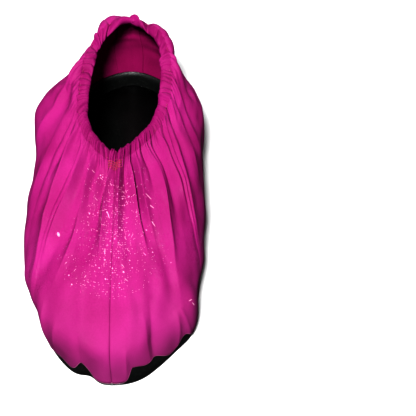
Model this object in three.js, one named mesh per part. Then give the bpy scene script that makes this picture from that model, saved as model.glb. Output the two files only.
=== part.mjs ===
// Reusable shoe cover of waterproof woven cloth, standing on its sole and empty.
// Two side panels meet in a seam at the toe and at the heel. A gathered casing draws in the
// mouth, and a shallow rubber sole with a turned-up rim is sewn in under the wavy hem.
// Millimetres. The toe points to -Y, +X is to the right as seen from the toe, +Z is up,
// and the origin is on the ground under the middle of the sole.

import * as THREE from "three";

// Sole
const soleLength = 306;
const soleHalfWidth = 61;
const soleThickness = 1.8;
const soleEdgeRound = 1.6;
const rimThickness = 1.5;

// Side panels
const clothThickness = 1.6;
const hemHeight = 3.2;
const bellyLeft = 71;
const bellyRight = 65;
const bellyHeight = 32;
const shoulderHalfWidth = 56.5;
const shoulderHeight = 60;
const foldHeight = 7.5;
const swellHeight = 5;
const hemWaveHeight = 10;
const waveFade = 6;

// Mouth and its casing
const mouthSetback = 135;
const mouthLength = 169;
const mouthHalfWidth = 35.5;
const mouthLean = 3.2;
const instepHeight = 84;
const heelHeight = 67.5;
const casingWidth = 8.6;
const casingThickness = 4.4;
const casingRibDepth = 0.45;
const casingRibs = 72;

// Run of a fold: its course bends by the power, its width grows from the first share by the
// second on the way down, and its strength rises from the start share at the given rate
const foldCourse = 0.7;
const foldWidthShares = [0.75, 0.5];
const foldStart = 0.45;
const foldRate = 3;

// Fall of the casing for each unit inward where it turns over into the mouth, and the share
// of the panels' folds that it follows
const turnDown = 0.75;
const casingFollow = 0.5;

// Gap that every two pieces keep, and the wider one over the uneven top of the panels
const clearance = 0.3;
const casingGap = 0.6;

// Mesh fineness
const panelColumns = 60;
const panelRows = 13;
const columnsPerRib = 3;
const casingSides = 6;
const normalStep = 0.004;
const halvings = 24;

// Cross-sections of the plain cover, from the toe seam (at 0) to the heel seam (at 1).
// Each cell is [across, along, up], as shares of the level's half width, of half the sole
// length and of the level's height, which is 0 for the sole. For the mouth, along is the share
// of its length behind its front, and up runs from the heel height (0) to the instep height
// (1). lay says how far the casing turns from straight on (0) over into the mouth (1).
const STATIONS = [
  { at: 0.00, sole: [0.00, -1.01], belly: [0.00, -0.93, 1.06],
    shoulder: [0.00, -0.51, 1.05], mouth: [0.00, 0.00, 1.00], lay: 0 },
  { at: 0.12, sole: [0.41, -0.96], belly: [0.36, -0.88, 1.03],
    shoulder: [0.24, -0.49, 1.04], mouth: [0.27, 0.04, 0.95], lay: 0 },
  { at: 0.24, sole: [0.79, -0.78], belly: [0.72, -0.72, 0.95],
    shoulder: [0.49, -0.40, 1.03], mouth: [0.48, 0.10, 0.86], lay: 0 },
  { at: 0.38, sole: [0.97, -0.54], belly: [0.93, -0.49, 0.88],
    shoulder: [0.76, -0.26, 1.02], mouth: [0.68, 0.17, 0.73], lay: 0 },
  { at: 0.52, sole: [1.00, -0.19], belly: [1.00, -0.16, 0.88],
    shoulder: [0.94, -0.06, 0.98], mouth: [0.83, 0.26, 0.52], lay: 0.1 },
  { at: 0.66, sole: [0.95, 0.15], belly: [0.97, 0.18, 0.94],
    shoulder: [1.00, 0.22, 0.97], mouth: [0.96, 0.39, 0.33], lay: 0.25 },
  { at: 0.78, sole: [0.88, 0.47], belly: [0.96, 0.52, 1.08],
    shoulder: [0.96, 0.50, 0.95], mouth: [1.01, 0.57, 0.27], lay: 0.45 },
  { at: 0.88, sole: [0.72, 0.73], belly: [0.76, 0.76, 1.06],
    shoulder: [0.77, 0.71, 0.98], mouth: [0.91, 0.78, 0.38], lay: 0.7 },
  { at: 0.95, sole: [0.43, 0.92], belly: [0.47, 0.94, 1.06],
    shoulder: [0.44, 0.95, 1.00], mouth: [0.59, 0.92, 0.54], lay: 0.8 },
  { at: 1.00, sole: [0.00, 1.00], belly: [0.00, 1.03, 1.06],
    shoulder: [0.00, 1.02, 0.97], mouth: [0.00, 0.99, 0.32], lay: 0.2 },
];

// Height levels of a cross-section, as shares of the way up the cloth
const LEVELS = [0, 0.24, 0.66, 1];

// Gathered folds that run down from the mouth. mouth and foot are places round the cover,
// as shares of the way round from the toe seam over the left side; end is the share of the
// way up where the fold has faded; width is a share of the way round, lean makes its far
// side steeper, and height is a share of the fold height, negative for a valley.
const FOLDS = [
  { mouth: 0.012, foot: 0.012, end: 0.10, width: 0.018, lean: 0.4, height: 0.40 },
  { mouth: 0.046, foot: 0.046, end: 0.60, width: 0.014, lean: 0.0, height: -0.60 },
  { mouth: 0.085, foot: 0.107, end: 0.45, width: 0.022, lean: 0.2, height: 0.75 },
  { mouth: 0.127, foot: 0.130, end: 0.55, width: 0.012, lean: 0.0, height: -0.70 },
  { mouth: 0.145, foot: 0.176, end: 0.45, width: 0.019, lean: 0.3, height: 0.80 },
  { mouth: 0.180, foot: 0.193, end: 0.50, width: 0.013, lean: 0.0, height: -0.65 },
  { mouth: 0.229, foot: 0.180, end: 0.22, width: 0.019, lean: 0.5, height: 1.10 },
  { mouth: 0.258, foot: 0.190, end: 0.28, width: 0.016, lean: 0.0, height: -1.10 },
  { mouth: 0.302, foot: 0.300, end: 0.66, width: 0.012, lean: 0.0, height: 0.50 },
  { mouth: 0.336, foot: 0.250, end: 0.28, width: 0.026, lean: 0.3, height: 1.20 },
  { mouth: 0.400, foot: 0.290, end: 0.35, width: 0.022, lean: 0.0, height: -1.20 },
  { mouth: 0.416, foot: 0.385, end: 0.35, width: 0.017, lean: 0.0, height: 0.80 },
  { mouth: 0.438, foot: 0.426, end: 0.55, width: 0.008, lean: 0.0, height: 0.60 },
  { mouth: 0.455, foot: 0.441, end: 0.60, width: 0.008, lean: 0.0, height: 0.50 },
  { mouth: 0.575, foot: 0.602, end: 0.50, width: 0.013, lean: 0.0, height: 0.60 },
  { mouth: 0.606, foot: 0.631, end: 0.45, width: 0.013, lean: 0.0, height: 0.70 },
  { mouth: 0.643, foot: 0.662, end: 0.45, width: 0.012, lean: 0.0, height: 0.65 },
  { mouth: 0.666, foot: 0.698, end: 0.35, width: 0.014, lean: 0.0, height: 0.75 },
  { mouth: 0.690, foot: 0.738, end: 0.45, width: 0.014, lean: 0.0, height: -0.75 },
  { mouth: 0.724, foot: 0.742, end: 0.50, width: 0.014, lean: 0.0, height: 0.65 },
  { mouth: 0.750, foot: 0.755, end: 0.65, width: 0.010, lean: 0.0, height: -0.60 },
  { mouth: 0.771, foot: 0.806, end: 0.20, width: 0.019, lean: -0.5, height: 1.10 },
  { mouth: 0.808, foot: 0.852, end: 0.30, width: 0.016, lean: 0.0, height: -1.00 },
  { mouth: 0.842, foot: 0.848, end: 0.40, width: 0.016, lean: -0.4, height: 0.95 },
  { mouth: 0.862, foot: 0.843, end: 0.80, width: 0.008, lean: 0.0, height: -0.50 },
  { mouth: 0.886, foot: 0.846, end: 0.55, width: 0.014, lean: 0.0, height: 0.60 },
  { mouth: 0.914, foot: 0.872, end: 0.50, width: 0.014, lean: 0.0, height: -0.85 },
  { mouth: 0.962, foot: 0.962, end: 0.55, width: 0.018, lean: 0.0, height: 0.45 },
];

// Broad swells and hollows of the loose cloth: at and up say where, round and high how far
// they reach, as shares of the way round and up, and height is a share of the swell height.
const SWELLS = [
  { at: 0.042, up: 0.00, round: 0.018, high: 0.14, height: -0.90 },
  { at: 0.150, up: 0.10, round: 0.030, high: 0.16, height: -0.60 },
  { at: 0.385, up: 0.34, round: 0.035, high: 0.18, height: 1.00 },
  { at: 0.408, up: 0.62, round: 0.026, high: 0.16, height: 1.20 },
  { at: 0.448, up: 0.76, round: 0.022, high: 0.22, height: -1.50 },
  { at: 0.484, up: 0.92, round: 0.014, high: 0.12, height: 1.20 },
  { at: 0.535, up: 0.86, round: 0.026, high: 0.12, height: 0.50 },
  { at: 0.862, up: 0.10, round: 0.025, high: 0.16, height: 1.20 },
  { at: 0.925, up: 0.20, round: 0.014, high: 0.14, height: -0.45 },
];

// Waves of the hem over the sole's rim: at and width are shares of the way round, lean makes
// the far side steeper, and rise is a share of the hem wave height.
const HEM_WAVES = [
  { at: 0.048, width: 0.010, lean: 0.0, rise: 0.55 },
  { at: 0.090, width: 0.014, lean: 0.0, rise: 0.15 },
  { at: 0.122, width: 0.007, lean: 0.0, rise: 0.35 },
  { at: 0.210, width: 0.012, lean: 0.0, rise: 0.25 },
  { at: 0.330, width: 0.015, lean: 0.0, rise: 0.30 },
  { at: 0.440, width: 0.012, lean: 0.0, rise: 0.30 },
  { at: 0.545, width: 0.013, lean: 0.0, rise: 0.30 },
  { at: 0.660, width: 0.015, lean: 0.0, rise: 0.30 },
  { at: 0.780, width: 0.012, lean: 0.0, rise: 0.20 },
  { at: 0.862, width: 0.008, lean: 0.4, rise: 0.45 },
  { at: 0.920, width: 0.016, lean: 0.0, rise: 0.45 },
  { at: 0.965, width: 0.022, lean: 0.6, rise: 0.85 },
];

const hermite = (p0, p1, m0, m1, u) =>
  (2 * u ** 3 - 3 * u ** 2 + 1) * p0 +
  (u ** 3 - 2 * u ** 2 + u) * m0 +
  (3 * u ** 2 - 2 * u ** 3) * p1 +
  (u ** 3 - u ** 2) * m1;

// Value of a table column at a share of the way from toe to heel. Past either seam the rows
// repeat in mirror image, so a distance across changes its sign there and the others keep it.
function alongSide(read, mirror, at) {
  const last = STATIONS.length - 1;
  const node = (i) => {
    if (i < 0) return { at: -node(-i).at, value: mirror * node(-i).value };
    if (i > last) return { at: 2 - node(2 * last - i).at, value: mirror * node(2 * last - i).value };
    return { at: STATIONS[i].at, value: read(STATIONS[i]) };
  };
  let i = 0;
  while (i < last - 1 && at > STATIONS[i + 1].at) i += 1;
  const [a, b, c, d] = [node(i - 1), node(i), node(i + 1), node(i + 2)];
  const span = c.at - b.at;
  const startSlope = ((c.value - a.value) / (c.at - a.at)) * span;
  const endSlope = ((d.value - b.value) / (d.at - b.at)) * span;
  return hermite(b.value, c.value, startSlope, endSlope, (at - b.at) / span);
}

// Side of the cover and share of the way from toe to heel, for a share of the way round
function sidePlace(around) {
  const place = around - Math.floor(around);
  const isLeft = place <= 0.5;
  return { isLeft, at: isLeft ? 2 * place : 2 - 2 * place };
}

// Point of one level of the plain cover at a share of the way round
function levelPoint(level, around) {
  const { isLeft, at } = sidePlace(around);
  const cell = (axis, mirror) => alongSide((row) => row[level][axis] ?? 0, mirror, at);
  const across = (isLeft ? -1 : 1) * cell(0, -1);
  const [along, up] = [cell(1, 1), cell(2, 1)];
  const toe = -soleLength / 2;
  if (level === "mouth") {
    const x = across * mouthHalfWidth + along * mouthLean;
    const y = toe + mouthSetback + along * mouthLength;
    return new THREE.Vector3(x, y, heelHeight + up * (instepHeight - heelHeight));
  }
  const bellyHalfWidth = isLeft ? bellyLeft : bellyRight;
  const halfWidths = { sole: soleHalfWidth, belly: bellyHalfWidth, shoulder: shoulderHalfWidth };
  const heights = { sole: 0, belly: bellyHeight, shoulder: shoulderHeight };
  return new THREE.Vector3(across * halfWidths[level], -along * toe, up * heights[level]);
}

// Slope of the cloth at the mouth: straight on from the shoulder, turned over into the mouth
// by the share that the table gives
function mouthSlope(around, shoulder, mouth) {
  const { at } = sidePlace(around);
  const lay = alongSide((row) => row.lay, 1, at);
  const straight = mouth.clone().sub(shoulder);
  const middle = new THREE.Vector3(mouthLean / 2, mouthSetback + (mouthLength - soleLength) / 2, 0);
  const inward = middle.sub(mouth).setZ(0).normalize().setZ(-turnDown);
  const slope = straight.clone().normalize().lerp(inward.normalize(), lay);
  return slope.normalize().multiplyScalar(straight.length() / (1 - LEVELS.at(-2)));
}

// Point of the plain cover at a share of the way round and a share of the way up.
// Past the top it runs straight on, as the casing does.
function plainPoint(around, up) {
  const points = ["sole", "belly", "shoulder", "mouth"].map((level) => levelPoint(level, around));
  const last = LEVELS.length - 1;
  const slope = (i) => {
    if (i === last) return mouthSlope(around, points[last - 1], points[last]);
    const from = Math.max(i - 1, 0);
    return points[i + 1].clone().sub(points[from]).divideScalar(LEVELS[i + 1] - LEVELS[from]);
  };
  if (up > 1) return points[last].clone().addScaledVector(slope(last), up - 1);
  let i = 0;
  while (i < last - 1 && up > LEVELS[i + 1]) i += 1;
  const span = LEVELS[i + 1] - LEVELS[i];
  const [m0, m1] = [slope(i).multiplyScalar(span), slope(i + 1).multiplyScalar(span)];
  const u = (up - LEVELS[i]) / span;
  const axisValue = (axis) => hermite(points[i][axis], points[i + 1][axis], m0[axis], m1[axis], u);
  return new THREE.Vector3(axisValue("x"), axisValue("y"), axisValue("z"));
}

// Directions of the plain cover at a place: round it, up it and out of it
function plainAxes(around, up) {
  const round = plainPoint(around + normalStep, up).sub(plainPoint(around - normalStep, up));
  const rise = plainPoint(around, up + normalStep).sub(plainPoint(around, up - normalStep));
  const speed = round.length() / (2 * normalStep);
  const out = rise.clone().cross(round).normalize();
  return { speed, rise: rise.normalize(), out };
}

// Distance round the cover from one place to another, as a signed share, the short way
const roundDistance = (from, to) => to - from - Math.round(to - from);

// A smooth hump, 1 at its middle, whose side towards higher places is steeper with lean
function hump(distance, width, lean = 0) {
  const reach = distance > 0 ? width * (1 - lean) : width * (1 + lean);
  return Math.exp(-((distance / reach) ** 2));
}

// Height of one fold over the plain cover
function foldRelief(fold, around, up) {
  const down = Math.max(0, (1 - up) / (1 - fold.end));
  if (down >= 1) return 0;
  const middle = fold.mouth + roundDistance(fold.mouth, fold.foot) * down ** foldCourse;
  const width = fold.width * (foldWidthShares[0] + foldWidthShares[1] * down);
  const strength = Math.min(1, foldStart + foldRate * down) * (1 - down ** 2) ** 2;
  return foldHeight * fold.height * strength * hump(roundDistance(middle, around), width, fold.lean);
}

// Height of one swell over the plain cover
function swellRelief(swell, around, up) {
  const nearRound = hump(roundDistance(swell.at, around), swell.round);
  return swellHeight * swell.height * nearRound * hump(up - swell.up, swell.high);
}

// Height of the folds and swells over the plain cover
function relief(around, up) {
  const folds = FOLDS.reduce((sum, fold) => sum + foldRelief(fold, around, up), 0);
  return SWELLS.reduce((sum, swell) => sum + swellRelief(swell, around, up), folds);
}

// Height of the hem over the ground at a share of the way round
function hemLevel(around) {
  const rise = (wave) => wave.rise * hump(roundDistance(wave.at, around), wave.width, wave.lean);
  return HEM_WAVES.reduce((height, wave) => height + hemWaveHeight * rise(wave), hemHeight);
}

// Share of the way up at which the plain cover reaches a height near its foot, by halving
function upAtHeight(around, height) {
  let [low, high] = [0, LEVELS[1]];
  for (let step = 0; step < halvings; step += 1) {
    const middle = (low + high) / 2;
    if (plainPoint(around, middle).z < height) low = middle;
    else high = middle;
  }
  return (low + high) / 2;
}

// Point at a depth under the folded outer face of the cloth
function clothPoint(around, up, depth) {
  const { out } = plainAxes(around, up);
  return plainPoint(around, up).addScaledVector(out, relief(around, up) - depth);
}

// Share of the way up of one row of the panels; row 0 is the hem and the last is the mouth.
// The waves of the hem fade over the rows above it.
function rowUp(around, row) {
  const level = upAtHeight(around, hemHeight);
  const wave = upAtHeight(around, hemLevel(around)) - level;
  const share = row / panelRows;
  return level + (1 - level) * share + wave * (1 - share) ** waveFade;
}

// Closed mesh from points and triangles
function solidMesh(name, points, triangles, material) {
  const coordinates = points.flatMap((point) => point.toArray());
  const geometry = new THREE.BufferGeometry();
  geometry.setAttribute("position", new THREE.Float32BufferAttribute(coordinates, 3));
  geometry.setIndex(triangles.flat());
  geometry.computeVertexNormals();
  const mesh = new THREE.Mesh(geometry, material);
  mesh.name = name;
  return mesh;
}

// Triangles that join two rings or rows of point numbers into a strip
function strip(lower, upper, isClosed) {
  const triangles = [];
  const count = isClosed ? lower.length : lower.length - 1;
  for (let i = 0; i < count; i += 1) {
    const j = (i + 1) % lower.length;
    triangles.push([lower[i], upper[i], upper[j]], [lower[i], upper[j], lower[j]]);
  }
  return triangles;
}

// The same triangles facing the other way
const flipped = (triangles) => triangles.map(([a, b, c]) => [a, c, b]);

// Place round the cover of one panel column. The end columns stand back from the seam by
// half the clearance, whatever the width of the cover is at that height.
function columnPlace(firstPlace, column, up) {
  const place = firstPlace + (0.5 * column) / panelColumns;
  if (column > 0 && column < panelColumns) return place;
  const setback = clearance / 2 / plainAxes(place, up).speed;
  return column === 0 ? place + setback : place - setback;
}

// One side panel: an outer and an inner face joined along the hem, the mouth and both seams
function sidePanel(name, firstPlace, material) {
  const points = [];
  const layer = (depth) => {
    const rows = [];
    for (let row = 0; row <= panelRows; row += 1) {
      rows.push([]);
      for (let column = 0; column <= panelColumns; column += 1) {
        const up = rowUp(firstPlace + (0.5 * column) / panelColumns, row);
        rows[row].push(points.length);
        points.push(clothPoint(columnPlace(firstPlace, column, up), up, depth));
      }
    }
    return rows;
  };
  const outer = layer(0);
  const inner = layer(clothThickness);
  const triangles = [];
  for (let row = 0; row < panelRows; row += 1) {
    triangles.push(...strip(outer[row], outer[row + 1], false));
    triangles.push(...flipped(strip(inner[row], inner[row + 1], false)));
  }
  const border = (grid) => [
    ...grid[0].slice(0, -1),
    ...grid.slice(0, -1).map((row) => row[panelColumns]),
    ...grid[panelRows].slice(1).reverse(),
    ...grid.slice(1).reverse().map((row) => row[0]),
  ];
  triangles.push(...strip(border(inner), border(outer), true));
  return solidMesh(name, points, triangles, material);
}

// The gathered casing: one ring of rounded sections, ribbed across, straight on above the panels
function casing(name, material) {
  const points = [];
  const rings = [];
  const columns = casingRibs * columnsPerRib;
  for (let column = 0; column < columns; column += 1) {
    const around = column / columns;
    const { rise, out } = plainAxes(around, 1);
    const foot = plainPoint(around, 1);
    const rib = casingRibDepth * Math.cos(2 * Math.PI * casingRibs * around);
    const centre = casingFollow * relief(around, 1) - clothThickness / 2;
    const ring = [];
    for (let side = 0; side < casingSides; side += 1) {
      const angle = (2 * Math.PI * side) / casingSides;
      const height = casingGap + (casingWidth / 2) * (1 - Math.cos(angle));
      const reach = centre + (casingThickness / 2 + rib) * Math.sin(angle);
      ring.push(points.length);
      points.push(foot.clone().addScaledVector(rise, height).addScaledVector(out, reach));
    }
    rings.push(ring);
  }
  const triangles = [];
  for (let column = 0; column < columns; column += 1) {
    triangles.push(...strip(rings[(column + 1) % columns], rings[column], true));
  }
  return solidMesh(name, points, triangles, material);
}

// Triangles of the flat face inside a ring that has as many points on its left as on its right
function flatFace(ring) {
  const left = ring.slice(1, panelColumns);
  const right = ring.slice(panelColumns + 1).reverse();
  const triangles = [[ring[0], left[0], right[0]]];
  for (let i = 0; i < left.length - 1; i += 1) {
    triangles.push([left[i], left[i + 1], right[i + 1]], [left[i], right[i + 1], right[i]]);
  }
  return [...triangles, [left.at(-1), ring[panelColumns], right.at(-1)]];
}

// The sole: a flat tray whose rim turns up inside the panels to their first row
function tray(name, material) {
  const points = [];
  const count = 2 * panelColumns;
  const ring = (pointAt) => {
    const numbers = [];
    for (let i = 0; i < count; i += 1) {
      numbers.push(points.length);
      points.push(pointAt(i / count));
    }
    return numbers;
  };
  const outerDepth = clothThickness + clearance;
  const innerDepth = outerDepth + rimThickness;
  const atLevel = (around, up, depth, z) => {
    const point = clothPoint(around, up, depth);
    point.z = z;
    return point;
  };
  const halfHem = (around) => upAtHeight(around, hemLevel(around) / 2);
  const outer = [
    ring((around) => atLevel(around, 0, outerDepth + soleEdgeRound, 0)),
    ring((around) => clothPoint(around, halfHem(around), outerDepth)),
    ring((around) => clothPoint(around, rowUp(around, 0), outerDepth)),
    ring((around) => clothPoint(around, rowUp(around, 1), outerDepth)),
  ];
  const inner = [
    ring((around) => atLevel(around, halfHem(around), innerDepth, soleThickness)),
    ring((around) => clothPoint(around, rowUp(around, 0), innerDepth)),
    ring((around) => clothPoint(around, rowUp(around, 1), innerDepth)),
  ];
  const triangles = [];
  outer.slice(1).forEach((upper, i) => triangles.push(...strip(outer[i], upper, true)));
  inner.slice(1).forEach((upper, i) => triangles.push(...flipped(strip(inner[i], upper, true))));
  triangles.push(...strip(outer.at(-1), inner.at(-1), true));
  triangles.push(...flatFace(outer[0]), ...flipped(flatFace(inner[0])));
  return solidMesh(name, points, triangles, material);
}

const panelCloth = new THREE.MeshStandardMaterial({ color: 0xd6157f, roughness: 0.55, metalness: 0 });
const casingCloth = new THREE.MeshStandardMaterial({ color: 0xc81276, roughness: 0.6, metalness: 0 });
const soleRubber = new THREE.MeshStandardMaterial({ color: 0x17181a, roughness: 0.7, metalness: 0 });

const shoeCover = new THREE.Group();
shoeCover.add(
  tray("sole", soleRubber),
  sidePanel("upper_left", 0, panelCloth),
  sidePanel("upper_right", 0.5, panelCloth),
  casing("collar_casing", casingCloth),
);

export default shoeCover;
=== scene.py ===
# Looks of the reusable shoe cover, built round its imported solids. The plain surface and its sizes are
# those of the solids, in millimetres. The folds, the gathers and some waves of the hem are made here.
# Every mesh is made in metres.
import math

import bpy
import numpy as np
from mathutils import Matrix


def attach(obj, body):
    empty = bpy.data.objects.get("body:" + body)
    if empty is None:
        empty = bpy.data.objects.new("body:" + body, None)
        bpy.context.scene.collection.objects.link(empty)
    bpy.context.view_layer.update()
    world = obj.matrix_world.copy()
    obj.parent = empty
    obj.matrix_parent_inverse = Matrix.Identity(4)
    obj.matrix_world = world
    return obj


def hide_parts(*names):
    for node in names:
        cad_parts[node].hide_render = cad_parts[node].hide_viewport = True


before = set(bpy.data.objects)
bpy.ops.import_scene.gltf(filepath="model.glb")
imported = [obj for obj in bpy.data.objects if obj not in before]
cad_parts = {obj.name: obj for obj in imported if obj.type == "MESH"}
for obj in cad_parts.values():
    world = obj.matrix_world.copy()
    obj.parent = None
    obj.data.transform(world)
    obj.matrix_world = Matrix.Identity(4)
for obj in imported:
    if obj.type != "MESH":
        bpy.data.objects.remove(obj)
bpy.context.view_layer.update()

SOLE_LENGTH = 306
SOLE_HALF_WIDTH = 61
SOLE_THICKNESS = 1.8
RIM_THICKNESS = 1.5
CLOTH_THICKNESS = 1.6
HEM_HEIGHT = 3.2
BELLY_LEFT = 71
BELLY_RIGHT = 65
BELLY_HEIGHT = 32
SHOULDER_HALF_WIDTH = 56.5
SHOULDER_HEIGHT = 60
SWELL_HEIGHT = 5
HEM_WAVE_HEIGHT = 10
WAVE_FADE = 6
MOUTH_SETBACK = 135
MOUTH_LENGTH = 169
MOUTH_HALF_WIDTH = 35.5
MOUTH_LEAN = 3.2
INSTEP_HEIGHT = 84
HEEL_HEIGHT = 67.5
CASING_WIDTH = 8.6
CASING_THICKNESS = 4.4
FOLD_START = 0.45
FOLD_RATE = 3
TURN_DOWN = 0.75
CASING_FOLLOW = 0.5
CLEARANCE = 0.3
NORMAL_STEP = 0.004
HALVINGS = 24
LEVELS = (0, 0.24, 0.66, 1)   # share of the way up of each row of STATIONS
PANEL_ROWS = 13         # rows of the solids' panels, of which the sole's rim goes one up

# Each level at STATION_AT, shares of the way from toe to heel: across, along and up
STATION_AT = np.array([0, 0.12, 0.24, 0.38, 0.52, 0.66, 0.78, 0.88, 0.95, 1])
STATIONS = {
    "sole": (
        (0, 0.41, 0.79, 0.97, 1, 0.95, 0.88, 0.72, 0.43, 0),
        (-1.01, -0.96, -0.78, -0.54, -0.19, 0.15, 0.47, 0.73, 0.92, 1),
        (0,) * 10),
    "belly": (
        (0, 0.36, 0.72, 0.93, 1, 0.97, 0.96, 0.76, 0.47, 0),
        (-0.93, -0.88, -0.72, -0.49, -0.16, 0.18, 0.52, 0.76, 0.94, 1.03),
        (1.06, 1.03, 0.95, 0.88, 0.88, 0.94, 1.08, 1.06, 1.06, 1.06)),
    "shoulder": (
        (0, 0.24, 0.49, 0.76, 0.94, 1, 0.96, 0.77, 0.44, 0),
        (-0.51, -0.49, -0.40, -0.26, -0.06, 0.22, 0.50, 0.71, 0.95, 1.02),
        (1.05, 1.04, 1.03, 1.02, 0.98, 0.97, 0.95, 0.98, 1, 0.97)),
    "mouth": (
        (0, 0.27, 0.48, 0.68, 0.83, 0.96, 1.01, 0.91, 0.59, 0),
        (0, 0.04, 0.10, 0.17, 0.26, 0.39, 0.57, 0.78, 0.92, 0.99),
        (1, 0.95, 0.86, 0.73, 0.52, 0.33, 0.27, 0.38, 0.54, 0.32)),
}
# How far the mouth turns inward at STATION_AT
LAY = (0, 0, 0, 0, 0.1, 0.25, 0.45, 0.7, 0.8, 0.2)

# Broad swells: place, share of the way up, half widths round and up, height as a share of SWELL_HEIGHT
SWELLS = (
    (0.042, 0.00, 0.018, 0.14, -0.90),
    (0.150, 0.10, 0.030, 0.16, -0.60),
    (0.385, 0.34, 0.035, 0.18, 1.00),
    (0.408, 0.62, 0.026, 0.16, 1.20),
    (0.448, 0.76, 0.022, 0.22, -1.50),
    (0.484, 0.92, 0.014, 0.12, 1.20),
    (0.535, 0.86, 0.026, 0.12, 0.50),
    (0.862, 0.10, 0.025, 0.16, 1.20),
    (0.925, 0.20, 0.014, 0.14, -0.45),
)

# Waves of the hem: place, half width, lean and rise as a share of HEM_WAVE_HEIGHT
HEM_WAVES = (
    (0.050, 0.012, 0.0, 1.20),
    (0.088, 0.022, 0.0, 0.28),
    (0.122, 0.008, 0.0, 0.55),
    (0.210, 0.012, 0.0, 0.25),
    (0.330, 0.015, 0.0, 0.30),
    (0.440, 0.012, 0.0, 0.30),
    (0.545, 0.013, 0.0, 0.30),
    (0.660, 0.015, 0.0, 0.30),
    (0.780, 0.012, 0.0, 0.20),
    (0.882, 0.012, 0.0, 1.00),
    (0.924, 0.014, 0.0, 0.62),
    (0.963, 0.022, 0.6, 1.20),
)


def hermite(p0, p1, m0, m1, u):
    return ((2 * u**3 - 3 * u**2 + 1) * p0 + (u**3 - 2 * u**2 + u) * m0
            + (3 * u**2 - 2 * u**3) * p1 + (u**3 - u**2) * m1)


def along_side(column, mirror, at):
    """Table column at a share of the way from toe to heel, repeated past each seam."""
    t = np.concatenate([[-STATION_AT[1]], STATION_AT, [2 - STATION_AT[-2]]])
    v = np.concatenate([[mirror * column[1]], column, [mirror * column[-2]]])
    i = np.clip(np.searchsorted(STATION_AT, at, side="left"), 1, len(STATION_AT) - 1)
    span = t[i + 1] - t[i]
    m0 = (v[i + 1] - v[i - 1]) / (t[i + 1] - t[i - 1]) * span
    m1 = (v[i + 2] - v[i]) / (t[i + 2] - t[i]) * span
    return hermite(v[i], v[i + 1], m0, m1, (at - t[i]) / span)


def side_place(around):
    place = around - np.floor(around)
    return place <= 0.5, np.where(place <= 0.5, 2 * place, 2 - 2 * place)


def level_point(level, around):
    """Points of one level of the plain cover."""
    is_left, at = side_place(around)
    across, along, up = (along_side(c, m, at) for c, m in zip(STATIONS[level], (-1, 1, 1)))
    across = across * np.where(is_left, -1, 1)
    toe = -SOLE_LENGTH / 2
    if level == "mouth":
        return np.stack([across * MOUTH_HALF_WIDTH + along * MOUTH_LEAN,
                         toe + MOUTH_SETBACK + along * MOUTH_LENGTH,
                         HEEL_HEIGHT + up * (INSTEP_HEIGHT - HEEL_HEIGHT)], -1)
    half = {"sole": SOLE_HALF_WIDTH, "belly": np.where(is_left, BELLY_LEFT, BELLY_RIGHT),
            "shoulder": SHOULDER_HALF_WIDTH}[level]
    height = {"sole": 0, "belly": BELLY_HEIGHT, "shoulder": SHOULDER_HEIGHT}[level]
    return np.stack([across * half, -along * toe, up * height], -1)


def unit(v):
    return v / (np.linalg.norm(v, axis=-1, keepdims=True) + 1e-12)


def mouth_slope(around, shoulder, mouth):
    _, at = side_place(around)
    lay = along_side(LAY, 1, at)[..., None]
    straight = mouth - shoulder
    inward = np.array([MOUTH_LEAN / 2, MOUTH_SETBACK + (MOUTH_LENGTH - SOLE_LENGTH) / 2, 0]) - mouth
    inward[..., 2] = 0
    inward = unit(inward)
    inward[..., 2] = -TURN_DOWN
    slope = unit(straight) * (1 - lay) + unit(inward) * lay
    return unit(slope) * np.linalg.norm(straight, axis=-1, keepdims=True) / (1 - LEVELS[-2])


def plain_point(around, up):
    """Points of the plain cover at shares of the way round and up."""
    around, up = np.broadcast_arrays(np.asarray(around, float), np.asarray(up, float))
    p = [level_point(level, around) for level in ("sole", "belly", "shoulder", "mouth")]
    m = [(p[1] - p[0]) / LEVELS[1], (p[2] - p[0]) / LEVELS[2],
         (p[3] - p[1]) / (LEVELS[3] - LEVELS[1]), mouth_slope(around, p[2], p[3])]
    out = np.zeros(p[0].shape)
    for i in range(3):
        span = LEVELS[i + 1] - LEVELS[i]
        here = ((up > LEVELS[i]) | (i == 0)) & ((up <= LEVELS[i + 1]) | (i == 2))
        u = ((up - LEVELS[i]) / span)[..., None]
        out = np.where(here[..., None], hermite(p[i], p[i + 1], m[i] * span, m[i + 1] * span, u), out)
    past = (up > 1)[..., None]
    return np.where(past, p[3] + m[3] * (up - 1)[..., None], out)


def plain_axes(around, up):
    """Speed round the plain cover and the directions up it and out of it."""
    h = NORMAL_STEP
    turn = plain_point(around + h, up) - plain_point(around - h, up)
    rise = plain_point(around, up + h) - plain_point(around, up - h)
    return np.linalg.norm(turn, axis=-1) / (2 * h), unit(rise), unit(np.cross(rise, turn))


def round_distance(a, b):
    return b - a - np.round(b - a)


def hump(distance, width, lean=0, power=2):
    """Round bump of height 1, wider on one side where it leans."""
    reach = width * np.where(distance > 0, 1 - lean, 1 + lean)
    return np.exp(-(np.abs(distance / reach) ** power))


def swell_relief(swell, around, up):
    at, level, wide, high, height = swell
    near = hump(round_distance(at, around), wide)
    return SWELL_HEIGHT * height * near * hump(up - level, high)


def hem_level(around):
    return HEM_HEIGHT + HEM_WAVE_HEIGHT * sum(
        rise * hump(round_distance(at, around), width, lean) for at, width, lean, rise in HEM_WAVES)


def up_at_height(around, height):
    low = np.zeros(np.shape(around))
    high = np.full(np.shape(around), LEVELS[1])
    for _ in range(HALVINGS):
        middle = (low + high) / 2
        below = plain_point(around, middle)[..., 2] < height
        low = np.where(below, middle, low)
        high = np.where(below, high, middle)
    return (low + high) / 2


def row_up(around, share):
    """Share of the way up at a share of the way from the hem to the mouth."""
    level = up_at_height(around, HEM_HEIGHT)
    wave = up_at_height(around, hem_level(around)) - level
    return level + (1 - level) * share + wave * (1 - share) ** WAVE_FADE


# Finer relief of the cloth

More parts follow.
